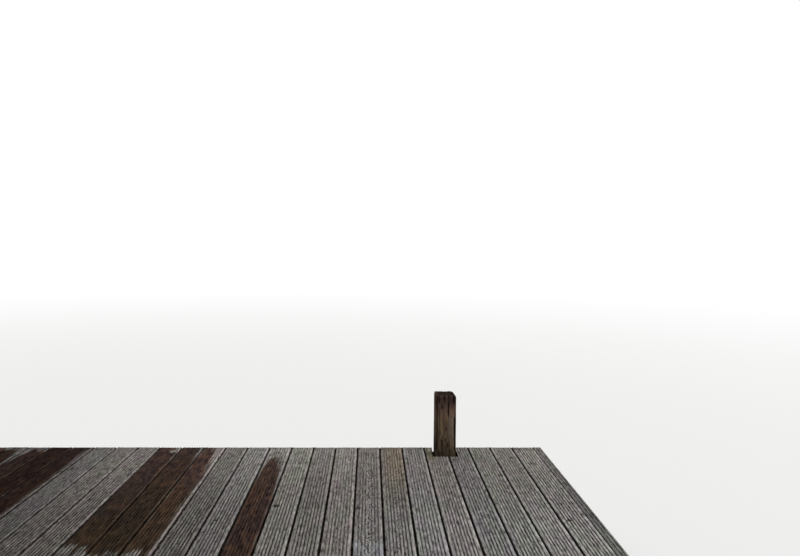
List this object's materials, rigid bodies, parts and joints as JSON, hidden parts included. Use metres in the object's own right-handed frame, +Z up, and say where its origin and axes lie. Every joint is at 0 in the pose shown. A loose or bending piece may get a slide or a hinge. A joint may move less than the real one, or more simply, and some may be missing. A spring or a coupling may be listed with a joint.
{
  "type": "wooden jetty",
  "caption": "Timber jetty of grooved deck boards on joists, housed crossheads and square piles, with mooring piles standing in notches along the water edge.",
  "frame": {"origin": "under the middle of the deck, at the level of the water where the piles end", "axes": "+X along the bank to the end with the ripped board, +Y out over the water, +Z up"},
  "size_m": [8.444, 2.68, 0.95],
  "materials": {
    "deck_boards": "weathered grey, grooved, with brown damp boards",
    "piles": "dark weathered brown with drying cracks",
    "frame": "sawn, damp brown"
  },
  "bodies": {
    "root": {"right_end_boards": "deck_boards", "left_end_boards": "deck_boards", "bay_boards_1": "deck_boards", "bay_boards_2": "deck_boards", "bay_boards_3": "deck_boards", "bay_boards_4": "deck_boards", "notched_boards_1": "deck_boards", "notched_boards_3": "deck_boards", "notched_boards_5": "deck_boards", "mooring_pile_1": "piles", "mooring_pile_3": "piles", "mooring_pile_5": "piles", "water_pile_2": "piles", "water_pile_4": "piles", "bank_pile_1": "piles", "bank_pile_2": "piles", "bank_pile_3": "piles", "bank_pile_4": "piles", "bank_pile_5": "piles", "crossheads_1": "frame", "crossheads_2": "frame", "crossheads_3": "frame", "crossheads_4": "frame", "crossheads_5": "frame", "joist_1": "frame", "joist_2": "frame", "joist_3": "frame", "joist_4": "frame", "joist_5": "frame", "joist_6": "frame", "joist_7": "frame", "water_fascia": "frame", "bank_fascia": "frame", "right_end_plank": "frame", "left_end_plank": "frame"}
  },
  "joints": []
}
